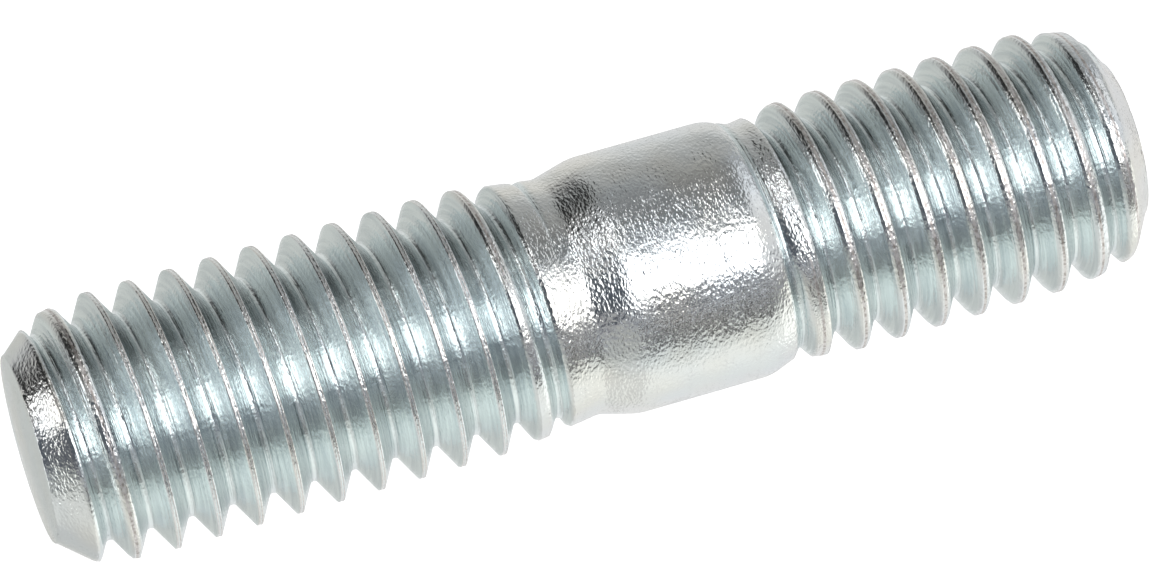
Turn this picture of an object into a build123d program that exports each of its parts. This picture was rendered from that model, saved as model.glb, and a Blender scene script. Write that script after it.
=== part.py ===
from build123d import *
import math
import os

# Cylinder head stud, M8 x 1.25, with a right-hand rolled thread at each end.
# Millimetres. The stud stands on its tap end, the end that screws into the
# casting: the origin is the middle of that end face, and +Z runs along the
# stud to the nut end.

# The stud as a whole
overall_length = 34.0
nominal_diameter = 8.0
shank_length = 3.55  # the parallel part, between the two cones
shank_allowance = 0.16  # shank diameter under the nominal

# Thread form, the same at both ends
pitch = 1.25
flank_angle = 60.0  # included
pitch_allowance = 0.048  # pitch diameter under its basic size, for a free fit
rolling_allowance = 0.06  # the bar is this much over the pitch diameter before it is rolled
root_flat = 0.19  # width of the root between the flanks

# Tap end
tap_thread_length = 11.75  # end face to where the thread has run out
tap_crest_allowance = 0.22  # diameter over the crests under the nominal
tap_run_out = 1.4  # the groove climbs to the surface over this length
tap_crest_fall = 2.0  # the crests fall to the rolling diameter over this length
tap_cone_length = 1.0  # from the thread up to the plain shank
tap_face_diameter = 4.8
tap_chamfer_angle = 59.0  # from the axis
tap_lead_length = 2.3  # end face to the first crest of full height
tap_lead_angle = 12.5  # from the axis, as the first crests rise
tap_start_angle = 193.0  # where the groove's root crosses the end face

# Nut end
nut_crest_allowance = 0.03
nut_run_out = 2.0
nut_crest_fall = 2.75
nut_cone_length = 1.2
nut_face_diameter = 5.64
nut_chamfer_angle = 41.0
nut_lead_length = 2.5
nut_lead_angle = 11.2
nut_start_angle = 93.0

# What follows from those sizes
nut_thread_length = overall_length - tap_thread_length - tap_cone_length - shank_length - nut_cone_length
shank_radius = (nominal_diameter - shank_allowance) / 2
tap_crest_radius = (nominal_diameter - tap_crest_allowance) / 2
nut_crest_radius = (nominal_diameter - nut_crest_allowance) / 2
half_flank = math.radians(flank_angle / 2)
sharp_height = pitch / 2 / math.tan(half_flank)  # of the thread's triangle, before crest and root are cut off it
pitch_radius = nominal_diameter / 2 - 3 / 8 * sharp_height - pitch_allowance / 2
rolling_radius = pitch_radius + rolling_allowance / 2
groove_radius = pitch_radius - sharp_height / 2 + root_flat / 2 / math.tan(half_flank)
overrun = 2 * pitch  # how far bars, grooves and cutters run past what they cut


def turned(*outline):
    """The solid that a closed outline of (radius, height) points sweeps out around the axis."""
    with BuildPart() as body:
        with BuildSketch(Plane.XZ):
            with BuildLine():
                Polyline(*outline, close=True)
            make_face()
        revolve(axis=Axis.Z)
    return body.part


def groove_section(crest_radius):
    """The space between two threads, drawn on the X axis: flat root, two flanks, and a mouth outside the crests."""
    root_z = root_flat / 2
    flank_x = crest_radius + pitch / 50
    flank_z = root_z + (flank_x - groove_radius) * math.tan(half_flank)
    mouth_x = flank_x + pitch / 10
    with BuildSketch(Plane.XZ) as section:
        with BuildLine():
            Polyline(
                (groove_radius, -root_z),
                (groove_radius, root_z),
                (flank_x, flank_z),
                (mouth_x, flank_z),
                (mouth_x, -flank_z),
                (flank_x, -flank_z),
                close=True,
            )
        make_face()
    return section.sketch


def grooved_bar(crest_radius, thread_length, run_out):
    """A plain bar with its end at Z = 0, grooved at full depth, then along a cone until the whole root is out."""
    section = groove_section(crest_radius)
    full_depth = thread_length - root_flat - run_out
    winding = Helix(pitch, overrun + full_depth, groove_radius)
    groove = Pos(0, 0, -overrun) * sweep(section, path=winding, is_frenet=True)

    climb_angle = math.atan2(rolling_radius - groove_radius, run_out)
    climb = Helix(pitch / math.cos(climb_angle), run_out + pitch, groove_radius, cone_angle=math.degrees(climb_angle))
    turns_before = (overrun + full_depth) / pitch
    fading = Pos(0, 0, full_depth) * Rot(0, 0, 360 * turns_before) * sweep(section, path=climb, is_frenet=True)

    bar = turned((0, -overrun), (crest_radius, -overrun), (crest_radius, thread_length + overrun),
                 (0, thread_length + overrun))
    return bar - groove - fading


def outside_cone(radius, height, angle, low, high):
    """Everything outside a cone that passes through (radius, height) and widens upwards by that angle."""
    slope = math.tan(math.radians(angle))
    low_radius = radius + (low - height) * slope
    high_radius = radius + (high - height) * slope
    outside = 2 * nominal_diameter
    return turned((low_radius, low), (high_radius, high), (outside, high), (outside, low))


def threaded_end(crest_radius, thread_length, run_out, crest_fall,
                 face_diameter, chamfer_angle, lead_length, lead_angle, start_angle):
    """One thread, from its end face at Z = 0 to where it has run out into the bar."""
    clear = pitch / 3
    end = grooved_bar(crest_radius, thread_length, run_out)
    end -= Pos(0, 0, -overrun) * Cylinder(nominal_diameter, 2 * overrun)
    end -= outside_cone(face_diameter / 2, 0, chamfer_angle, -clear, lead_length)
    end -= outside_cone(crest_radius, lead_length, lead_angle, -clear, lead_length + clear)
    fall_angle = math.degrees(math.atan2(rolling_radius - crest_radius, crest_fall))
    fall_start = thread_length - crest_fall
    end -= outside_cone(rolling_radius, thread_length, fall_angle, fall_start - clear, thread_length + clear)
    end -= Pos(0, 0, thread_length + 2 * overrun) * Cylinder(nominal_diameter, 4 * overrun)
    return Rot(0, 0, start_angle - 360 * overrun / pitch) * end


def plain_shank():
    """The unthreaded middle: the full shank diameter, with a cone down to each thread."""
    bottom = tap_thread_length
    top = overall_length - nut_thread_length
    return turned(
        (0, bottom),
        (rolling_radius, bottom),
        (shank_radius, bottom + tap_cone_length),
        (shank_radius, top - nut_cone_length),
        (rolling_radius, top),
        (0, top),
    )


def cylinder_head_stud():
    tap_end = threaded_end(tap_crest_radius, tap_thread_length, tap_run_out, tap_crest_fall,
                           tap_face_diameter, tap_chamfer_angle, tap_lead_length, tap_lead_angle, tap_start_angle)
    nut_end = threaded_end(nut_crest_radius, nut_thread_length, nut_run_out, nut_crest_fall,
                           nut_face_diameter, nut_chamfer_angle, nut_lead_length, nut_lead_angle, nut_start_angle)
    return tap_end + plain_shank() + Pos(0, 0, overall_length) * Rot(180, 0, 0) * nut_end


os.makedirs("parts", exist_ok=True)
export_step(cylinder_head_stud(), "parts/stud.step")
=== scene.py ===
import math

import bmesh
import bpy
import numpy
from mathutils import Matrix, Vector, noise


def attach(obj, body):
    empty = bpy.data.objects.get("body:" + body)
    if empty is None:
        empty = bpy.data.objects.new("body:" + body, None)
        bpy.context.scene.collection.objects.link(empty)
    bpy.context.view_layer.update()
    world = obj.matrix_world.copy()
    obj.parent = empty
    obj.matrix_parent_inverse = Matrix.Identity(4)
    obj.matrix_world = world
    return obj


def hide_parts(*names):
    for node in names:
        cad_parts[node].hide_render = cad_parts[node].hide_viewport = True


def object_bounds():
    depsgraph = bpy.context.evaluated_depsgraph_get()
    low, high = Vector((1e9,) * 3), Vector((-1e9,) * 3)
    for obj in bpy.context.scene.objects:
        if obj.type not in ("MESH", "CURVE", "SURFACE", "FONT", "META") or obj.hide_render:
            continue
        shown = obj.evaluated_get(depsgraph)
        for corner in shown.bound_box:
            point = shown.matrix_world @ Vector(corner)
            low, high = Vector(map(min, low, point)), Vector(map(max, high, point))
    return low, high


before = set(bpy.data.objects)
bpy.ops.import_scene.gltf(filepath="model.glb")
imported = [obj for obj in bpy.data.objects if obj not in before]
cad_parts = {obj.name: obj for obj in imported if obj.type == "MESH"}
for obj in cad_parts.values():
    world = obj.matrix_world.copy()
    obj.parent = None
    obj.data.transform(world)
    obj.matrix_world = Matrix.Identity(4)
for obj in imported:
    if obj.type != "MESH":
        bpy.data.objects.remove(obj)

cad_low, cad_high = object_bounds()
mm = 0.001

# The stud: one steel bar with a thread rolled on at each end, then zinc
# plated all over. Here it is one closed skin, wound as a single screw whose
# threads sink into the bar and rise again at the plain shank.
overall_length = cad_high.z - cad_low.z
pitch = 1.25 * mm
turn_steps = 160  # facets in one turn
flank_slope = math.tan(math.radians(30))
pitch_radius = 3.57 * mm
root_radius = 3.185 * mm
rolling_radius = 3.6 * mm  # the bar under the threads

tap_thread = 11.95 * mm
tap_run_out = 1.05 * mm
tap_start = 193.0
nut_crest = 3.985 * mm
nut_thread = 16.5 * mm
nut_run_out = 2.19 * mm
nut_start = 93.0

# Heights and radii of the surface that the crests reach, in mm: tap face,
# chamfer, rising crests, full crests, falling crests, cone, shank, and the
# same again to the nut face.
outline = [
    (0.0, 2.4), (0.694, 3.533), (2.3, 3.885), (9.75, 3.885), (11.4, 3.62), (12.2, 3.915),
    (16.3, 3.915), (17.5, 3.6), (20.25, 3.98), (31.5, 3.98), (32.996, 3.693), (34.0, 2.82),
]
outline_z = numpy.array([z for z, r in outline]) * mm
outline_r = numpy.array([r for z, r in outline]) * mm
tap_face = outline_r[0]
nut_face = outline_r[-1]


def bar_radius(z):
    """The outline's radius at a height, with its corners as round as rolling and plating leave them."""
    rounding = 0.22 * mm if tap_thread < z < nut_thread_start - 0.5 * mm else 0.1 * mm
    window = numpy.linspace(-rounding, rounding, 9)
    return float(numpy.interp(z + window, outline_z, outline_r).mean())


# One thread's profile, from the middle of one crest to the middle of the
# next. Metal squeezed up between the dies folds over along the crest's middle.
stud = bmesh.new()
bare = stud.verts.layers.float.new("bare")
across = stud.verts.layers.float.new("across")
crest = stud.verts.layers.float.new("crest")
drawn = stud.verts.layers.float.new("drawn")
crest_half = pitch / 4 - (nut_crest - pitch_radius) * flank_slope
root_half = pitch / 4 - (pitch_radius - root_radius) * flank_slope
half_thread = [
    (nut_crest - 0.03 * mm, -pitch / 2),
    (nut_crest, -pitch / 2 + crest_half * 0.5),
    (nut_crest - 0.008 * mm, -pitch / 2 + crest_half),
    (nut_crest - 0.045 * mm, -pitch / 2 + crest_half + 0.021 * mm),
    (root_radius, -root_half),
]
corners = half_thread + [(r, -z) for r, z in reversed(half_thread)]
verts = [stud.verts.new((r, 0, z)) for r, z in corners]
for pair in zip(verts, verts[1:]):
    stud.edges.new(pair)
bmesh.ops.bevel(stud, geom=verts[4:6], affect="VERTICES", offset=0.07 * mm, segments=2, profile=0.5, material=-1)
flanks = [e for e in stud.edges if e.calc_length() > 0.4 * mm]
bmesh.ops.subdivide_edges(stud, edges=flanks, cuts=3)
for v in stud.verts:
    v[across] = abs(v.co.z)

# One turn of it, then turn on turn, a little past both ends.
bmesh.ops.spin(stud, geom=stud.verts[:] + stud.edges[:], cent=(0, 0, 0), axis=(0, 0, 1),
               dvec=(0, 0, pitch / turn_steps), angle=math.tau, steps=turn_steps, use_merge=False)
turns = math.ceil(overall_length / pitch) + 3
bmesh.ops.spin(stud, geom=stud.verts[:] + stud.edges[:] + stud.faces[:], cent=(0, 0, 0), axis=(0, 0, 1),
               dvec=(0, 0, pitch), angle=math.tau * turns, steps=turns, use_merge=False, use_duplicate=True)
bmesh.ops.remove_doubles(stud, verts=stud.verts[:], dist=0.0005 * mm)
bmesh.ops.translate(stud, verts=stud.verts[:], vec=(0, 0, -2 * pitch))
bmesh.ops.rotate(stud, verts=stud.verts[:], cent=(0, 0, 0), matrix=Matrix.Rotation(math.radians(tap_start), 3, "Z"))
for height in (0, overall_length):
    bmesh.ops.bisect_plane(stud, geom=stud.verts[:] + stud.edges[:] + stud.faces[:], dist=0.0005 * mm,
                           plane_co=(0, 0, height), plane_no=(0, 0, 1))

# The nut end starts at its own angle, so the skin turns a little within the
# shank. Then every point comes in to the bar's outline, the grooves climb out
# of the metal at the run-outs, and what is past the ends folds in as the faces.
nut_thread_start = overall_length - nut_thread
turn_gap = math.radians((-nut_start - tap_start - 360 * overall_length / pitch + 180) % 360 - 180)
tap_climb = (rolling_radius + 0.22 * mm - root_radius) / tap_run_out
nut_climb = (rolling_radius - root_radius) / nut_run_out
face_fold = 1.2 * pitch
nut_crown = 0.12 * mm
for v in stud.verts:
    z = v.co.z
    angle = math.atan2(v.co.y, v.co.x)
    radius = math.hypot(v.co.x, v.co.y)
    angle += turn_gap * min(max((z - tap_thread) / (nut_thread_start - tap_thread), 0), 1)
    climb = max(tap_climb * (z - tap_thread + tap_run_out), 0) if z < tap_thread else 0
    climb += max(nut_climb * (nut_thread_start + nut_run_out - z), 0) if z > nut_thread_start else 0
    surface = bar_radius(z)
    if tap_thread < z < nut_thread_start:
        radius = surface
    depth = surface - min(radius + climb, surface)
    if z > nut_thread_start:
        depth *= min(max((z - nut_thread_start - 0.4 * mm) / (0.6 * mm), 0), 1)
    v[bare] = min(max(1 - depth / (0.04 * mm), 0), 1)
    threaded = outline_z[1] < z < tap_thread - 1.1 * mm or nut_thread_start + nut_run_out < z < outline_z[-2]
    v[drawn] = float(tap_thread < z < nut_thread_start + pitch / 2)
    v[crest] = v[bare] * min(max((v[across] / pitch - 0.43) / 0.05, 0), 1) if threaded else 0
    radius = surface - depth
    if z < 0:
        radius = tap_face * max(1 + z / face_fold, 0)
        z = 0
    if z > overall_length:
        share = max(1 - (z - overall_length) / face_fold, 0)
        radius = nut_face * share
        z = overall_length + nut_crown * (1 - share * share)
    v.co = (radius * math.cos(angle), radius * math.sin(angle), z)
bmesh.ops.remove_doubles(stud, verts=stud.verts[:], dist=0.0005 * mm)
bmesh.ops.recalc_face_normals(stud, faces=stud.faces[:])
for face in stud.faces:
    face.smooth = True
open_edges = sum(len(e.link_faces) != 2 for e in stud.edges)
print("stud", len(stud.verts), "verts", sum(len(f.verts) - 2 for f in stud.faces), "triangles", open_edges, "open edges")
mesh = bpy.data.meshes.new("stud_skin")
stud.to_mesh(mesh)
stud.free()
skin = bpy.data.objects.new("stud_skin", mesh)
bpy.context.scene.collection.objects.link(skin)
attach(skin, "root")
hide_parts("stud")


def colour(hex_value):
    """A linear colour from an sRGB hex value."""
    parts = [int(hex_value[i:i + 2], 16) / 255 for i in (1, 3, 5)]
    return tuple(c / 12.92 if c <= 0.04045 else ((c + 0.055) / 1.055) ** 2.4 for c in parts) + (1.0,)


def add(tree, kind, settings=None, links=None):
    """A node of that kind with its settings, and its inputs linked to sockets or set to values."""
    node = tree.nodes.new(kind)
    for name, value in (settings or {}).items():
        setattr(node, name, value)
    for name, value in (links or {}).items():
        if isinstance(value, bpy.types.NodeSocket):
            tree.links.new(value, node.inputs[name])
        else:
            node.inputs[name].default_value = value
    return node


# Bright zinc plating: a cool silver that goes bluish green down in the
# grooves, where it mirrors itself, with fine crystals that sparkle at the
# edges of every highlight.
zinc = bpy.data.materials.new("zinc_plating")
zinc.use_nodes = True
tree = zinc.node_tree
shader = tree.nodes["Principled BSDF"]
place = add(tree, "ShaderNodeTexCoord").outputs["Object"]
bare_mask = add(tree, "ShaderNodeAttribute", {"attribute_name": "bare"}).outputs["Fac"]
drawn_mask = add(tree, "ShaderNodeAttribute", {"attribute_name": "drawn"}).outputs["Fac"]
crest_mask = add(tree, "ShaderNodeAttribute", {"attribute_name": "crest"}).outputs["Fac"]
across_mask = add(tree, "ShaderNodeAttribute", {"attribute_name": "across"}).outputs["Fac"]

# A clear passivate lies thinly and unevenly, a tinge of straw here and of blue there.
tinge = add(tree, "ShaderNodeTexNoise", None, {"Vector": place, "Scale": 1 / (2.2 * mm), "Detail": 1.0})
tinge = add(tree, "ShaderNodeMapRange", None, {"Value": tinge.outputs["Fac"], "From Min": 0.35, "From Max": 0.65})
plain = add(tree, "ShaderNodeMix", {"data_type": "RGBA"}, {0: tinge.outputs[0], 6: colour("#e6e4df"), 7: colour("#e1e4e6")})
split = add(tree, "ShaderNodeSeparateXYZ", None, {"Vector": place})
along = add(tree, "ShaderNodeCombineXYZ", None, {"X": split.outputs["X"], "Y": split.outputs["Y"], "Z": across_mask})
along = add(tree, "ShaderNodeMapping", None, {"Vector": along.outputs[0], "Scale": (1 / (2.5 * mm), 1 / (2.5 * mm), 1 / (0.07 * mm))})
turn = add(tree, "ShaderNodeMath", {"operation": "MULTIPLY"}, {0: split.outputs["Z"], 1: 1 / (1.5 * mm)})
streaks = add(tree, "ShaderNodeTexNoise", {"noise_dimensions": "4D"}, {"Vector": along.outputs[0], "W": turn.outputs[0], "Scale": 1.0, "Detail": 1.5})

rolled = add(tree, "ShaderNodeMapRange", None, {"Value": streaks.outputs["Fac"], "From Min": 0.36, "From Max": 0.6})
rolled = add(tree, "ShaderNodeMix", {"data_type": "RGBA"}, {0: rolled.outputs[0], 6: colour("#d5dddf"), 7: colour("#e8efef")})
metal = add(tree, "ShaderNodeMix", {"data_type": "RGBA"}, {0: bare_mask, 6: rolled.outputs[2], 7: plain.outputs[2]})
short = add(tree, "ShaderNodeMapping", None, {"Vector": place, "Scale": (1, 1, 1.7)}).outputs[0]
fleck = add(tree, "ShaderNodeTexNoise", None, {"Vector": place, "Scale": 1 / (0.14 * mm), "Detail": 1.5})
pits = add(tree, "ShaderNodeMapRange", None, {"Value": fleck.outputs["Fac"], "From Min": 0.38, "From Max": 0.55})
squeezed = add(tree, "ShaderNodeMix", {"data_type": "RGBA"}, {0: pits.outputs[0], 6: colour("#b0a7a2"), 7: colour("#e2dddb")})
ragged = add(tree, "ShaderNodeMath", {"operation": "MULTIPLY_ADD"}, {0: fleck.outputs["Fac"], 1: 0.8, 2: crest_mask})
ragged = add(tree, "ShaderNodeMapRange", None, {"Value": ragged.outputs[0], "From Min": 0.95, "From Max": 1.2})
metal = add(tree, "ShaderNodeMix", {"data_type": "RGBA"}, {0: ragged.outputs[0], 6: metal.outputs[2], 7: squeezed.outputs[2]})
rings = add(tree, "ShaderNodeMath", {"operation": "MULTIPLY_ADD"}, {0: fleck.outputs["Fac"], 1: 0.12, 2: turn.outputs[0]})
rings = add(tree, "ShaderNodeTexNoise", {"noise_dimensions": "1D"}, {"W": rings.outputs[0], "Scale": 1.4, "Detail": 0.0})
rings = add(tree, "ShaderNodeMath", {"operation": "COMPARE"}, {0: rings.outputs[0], 1: 0.5, 2: 0.025})
rings = add(tree, "ShaderNodeMath", {"operation": "MULTIPLY"}, {0: rings.outputs[0], 1: drawn_mask})
rings = add(tree, "ShaderNodeMath", {"operation": "MULTIPLY"}, {0: rings.outputs[0], 1: fleck.outputs["Fac"]})
worn = add(tree, "ShaderNodeMath", {"operation": "MAXIMUM"}, {0: rings.outputs[0], 1: ragged.outputs[0]})
sheen = add(tree, "ShaderNodeMapRange", None, {"Value": bare_mask, "To Min": 0.21, "To Max": 0.15})
rough = add(tree, "ShaderNodeMapRange", None, {"Value": worn.outputs[0], "To Min": sheen.outputs[0], "To Max": 0.34})

crystals = add(tree, "ShaderNodeTexVoronoi", {"feature": "SMOOTH_F1"}, {"Vector": short, "Scale": 1 / (0.17 * mm), "Smoothness": 0.4})
patches = add(tree, "ShaderNodeTexNoise", None, {"Vector": place, "Scale": 1 / (0.7 * mm), "Detail": 1.0})
patches = add(tree, "ShaderNodeMapRange", None, {"Value": patches.outputs["Fac"], "From Min": 0.35, "From Max": 0.65, "To Min": 0.1, "To Max": 1.0})
calm = add(tree, "ShaderNodeMapRange", None, {"Value": bare_mask, "To Min": 0.6, "To Max": 1.0})
patches = add(tree, "ShaderNodeMath", {"operation": "MULTIPLY"}, {0: patches.outputs[0], 1: calm.outputs[0]})
grain = add(tree, "ShaderNodeTexNoise", None, {"Vector": short, "Scale": 1 / (0.13 * mm), "Detail": 1.0})
peel = add(tree, "ShaderNodeTexNoise", None, {"Vector": place, "Scale": 1 / (0.9 * mm), "Detail": 0.0})
bump = add(tree, "ShaderNodeBump", None, {"Height": crystals.outputs["Distance"], "Distance": 0.016 * mm, "Strength": patches.outputs[0]})
bump = add(tree, "ShaderNodeBump", None, {"Height": grain.outputs["Fac"], "Distance": 0.022 * mm, "Strength": calm.outputs[0], "Normal": bump.outputs[0]})
bump = add(tree, "ShaderNodeBump", None, {"Height": peel.outputs["Fac"], "Distance": 0.05 * mm, "Strength": bare_mask, "Normal": bump.outputs[0]})
grooved = add(tree, "ShaderNodeMath", {"operation": "SUBTRACT"}, {0: 1.0, 1: bare_mask})
bump = add(tree, "ShaderNodeBump", None, {"Height": streaks.outputs["Fac"], "Distance": 0.042 * mm, "Strength": grooved.outputs[0], "Normal": bump.outputs[0]})
shader.inputs["Metallic"].default_value = 1.0
tree.links.new(metal.outputs[2], shader.inputs["Base Color"])
tree.links.new(rough.outputs[0], shader.inputs["Roughness"])
tree.links.new(bump.outputs[0], shader.inputs["Normal"])
mesh.materials.append(zinc)

# The floor
bpy.ops.mesh.primitive_plane_add(size=2.0, location=(0, 0, 0))
floor = bpy.context.object
floor.name = "floor"
floor.visible_glossy = False
white = bpy.data.materials.new("floor_white")
white.use_nodes = True
tree = white.node_tree
shader = tree.nodes["Principled BSDF"]
shader.inputs["Base Color"].default_value = colour("#e8e8e8")
shader.inputs["Roughness"].default_value = 0.9
rays = add(tree, "ShaderNodeLightPath")
tree.links.new(rays.outputs["Is Camera Ray"], shader.inputs["Emission Strength"])
shader.inputs["Emission Color"].default_value = (0.8, 0.8, 0.8, 1)
floor.data.materials.append(white)

# Studio world: bands by direction round the stud
world = bpy.data.worlds.new("studio")
bpy.context.scene.world = world
world.use_nodes = True
tree = world.node_tree
background = tree.nodes["Background"]
direction = add(tree, "ShaderNodeTexCoord").outputs["Generated"]
split = add(tree, "ShaderNodeSeparateXYZ", None, {"Vector": direction})
toward = add(tree, "ShaderNodeMath", {"operation": "MULTIPLY"}, {0: split.outputs["Y"], 1: -1.0})
bearing = add(tree, "ShaderNodeMath", {"operation": "ARCTAN2"}, {0: split.outputs["X"], 1: toward.outputs[0]})
height = add(tree, "ShaderNodeMath", {"operation": "ARCSINE"}, {0: split.outputs["Z"]})
share = add(tree, "ShaderNodeMapRange", None, {"Value": bearing.outputs[0], "From Min": -math.pi, "From Max": math.pi})
lamp_level = 3.2


def edge(value, start, end):
    """Rises from 0 to 1 between two angles in degrees."""
    return add(tree, "ShaderNodeMapRange", {"interpolation_type": "SMOOTHSTEP"},
               {"Value": value, "From Min": math.radians(start), "From Max": math.radians(end)}).outputs[0]


# What stands round the stud, row over row. Each row has the heights between
# which it takes over from the row under it, then colours by bearing.
rows = [
    (-90, -90, [
        (-179, "#909090"), (-135, "#939593"), (-122, "#b3b5b3"), (-94, "#a9aba9"), (-80, "#8c8e8c"),
        (-70, "#5c5e5c"), (-56, "#595b5e"), (-43, "#5b5c60"), (-32, "#7a7c7e"), (-22, "#8c8e90"),
        (-8, "#8c8e90"), (12, "#8a8c8e"), (30, "#8a8c8e"), (50, "#969899"), (65, "#989a9c"), (80, "#828486"),
        (110, "#5e6062"), (130, "#757775"), (150, "#8c8c8c"),
    ]),
    (-35, -28, [
        (-179, "#909090"), (-145, "#909191"), (-123, "#939593"), (-107, "#9c9e9c"), (-94, "#9b9d9b"),
        (-80, "#8c8f8d"), (-71, "#808280"), (-68, "#303131"), (-60, "#252525"), (-57, "#9b9b9b"),
        (-54, "#202020"), (-47, "#202022"), (-43, "#a9abac"), (-39, "#27292b"), (-31, "#4c4e52"),
        (-23, "#909294"), (-15, "#ffffff"), (13, "#ffffff"), (19, "#909395"), (28, "#5c5f62"),
        (40, "#4c4f50"), (54, "#494a4a"), (74, "#525353"), (85, "#5c5e5e"), (97, "#646564"),
        (111, "#6c6d6c"), (128, "#797a79"), (140, "#878887"), (179, "#8c8c8c"),
    ]),
    (0, 5, [
        (-179, "#797b79"), (-140, "#7b7c7b"), (-108, "#8b8c8b"), (-94, "#828382"), (-82, "#7c7e7c"),
        (-72, "#717371"), (-60, "#696b6c"), (-43, "#65686c"), (-30, "#606469"), (-19, "#9ca0a4"),
        (0, "#a0a4a8"), (12, "#a0a4a8"), (19, "#a8aaac"), (25, "#d3d3d3"), (30, "#ffffff"), (50, "#ffffff"),
        (57, "#c5c5c5"), (64, "#7e7e7e"), (74, "#505150"), (86, "#3e3f3e"), (100, "#373837"),
        (111, "#545454"), (127, "#6e6f6e"), (150, "#797b79"), (179, "#797b79"),
    ]),
    (8, 12, [
        (-179, "#797b79"), (-140, "#7b7c7b"), (-108, "#8c8e8c"), (-94, "#8b8c8b"), (-82, "#838583"),
        (-72, "#787a78"), (-60, "#6d6f6d"), (-43, "#67696b"), (-34, "#545559"), (-25, "#32353b"),
        (-12, "#2e3237"), (0, "#303439"), (9, "#35393d"), (18, "#4c4e50"), (27, "#6c6c6c"), (35, "#626262"),
        (44, "#545454"), (54, "#4c4c4c"), (63, "#393939"), (74, "#202020"), (88, "#141414"),
        (100, "#141414"), (111, "#292929"), (127, "#5e5e5e"), (145, "#7b7b79"), (179, "#797b79"),
    ]),
    (53, 62, [
        (-179, "#acacac"), (-128, "#bec0be"), (-115, "#a9aba9"), (-105, "#898b89"), (-95, "#6e706e"),
        (-80, "#575957"), (-60, "#45484b"), (-30, "#34363b"), (10, "#373a3e"), (24, "#505255"),
        (40, "#a9a9a9"), (56, "#c5c5c5"), (82, "#d7d7d7"), (94, "#acacac"), (104, "#5e5e5e"),
        (114, "#3b3b3b"), (125, "#4c4c4c"), (145, "#747474"), (179, "#9b9b9b"),
    ]),
]
light = None
for start, end, stops in rows:
    ramp = add(tree, "ShaderNodeValToRGB", None, {"Fac": share.outputs[0]})
    elements = ramp.color_ramp.elements
    for degrees, level in stops:
        elements.new((degrees + 180) / 360).color = colour(level)
    elements.remove(elements[0])
    elements.remove(elements[-1])
    if light is None:
        light = ramp.outputs["Color"]
    else:
        above = edge(height.outputs[0], start, end)
        light = add(tree, "ShaderNodeMix", {"data_type": "RGBA"}, {0: above, 6: light, 7: ramp.outputs["Color"]}).outputs[2]
tree.links.new(light, background.inputs["Color"])
background.inputs["Strength"].default_value = lamp_level
rays = add(tree, "ShaderNodeLightPath")
plain = add(tree, "ShaderNodeBackground", None, {"Color": (1, 1, 1, 1), "Strength": 1.0})
mix = add(tree, "ShaderNodeMixShader", None, {0: rays.outputs["Is Camera Ray"], 1: background.outputs[0], 2: plain.outputs[0]})
tree.links.new(mix.outputs[0], tree.nodes["World Output"].inputs["Surface"])

# Camera
camera = bpy.data.objects.new("camera", bpy.data.cameras.new("camera"))
bpy.context.scene.collection.objects.link(camera)
bpy.context.scene.camera = camera
camera.data.lens = 239.6
camera.data.sensor_width = 36
camera.data.clip_start = 0.01
camera.data.clip_end = 10
elevation = math.radians(10.33)
roll = math.radians(105.88)
aim = Vector((0.05 * mm, 0.025 * mm, 17.007 * mm))
forward = Vector((0, math.cos(elevation), -math.sin(elevation)))
camera.location = aim - forward * 227.94 * mm
camera.rotation_mode = "QUATERNION"
upright = forward.to_track_quat("-Z", "Y")
camera.rotation_quaternion = Matrix.Rotation(roll, 3, forward).to_quaternion() @ upright

bpy.context.scene.view_settings.view_transform = "Standard"
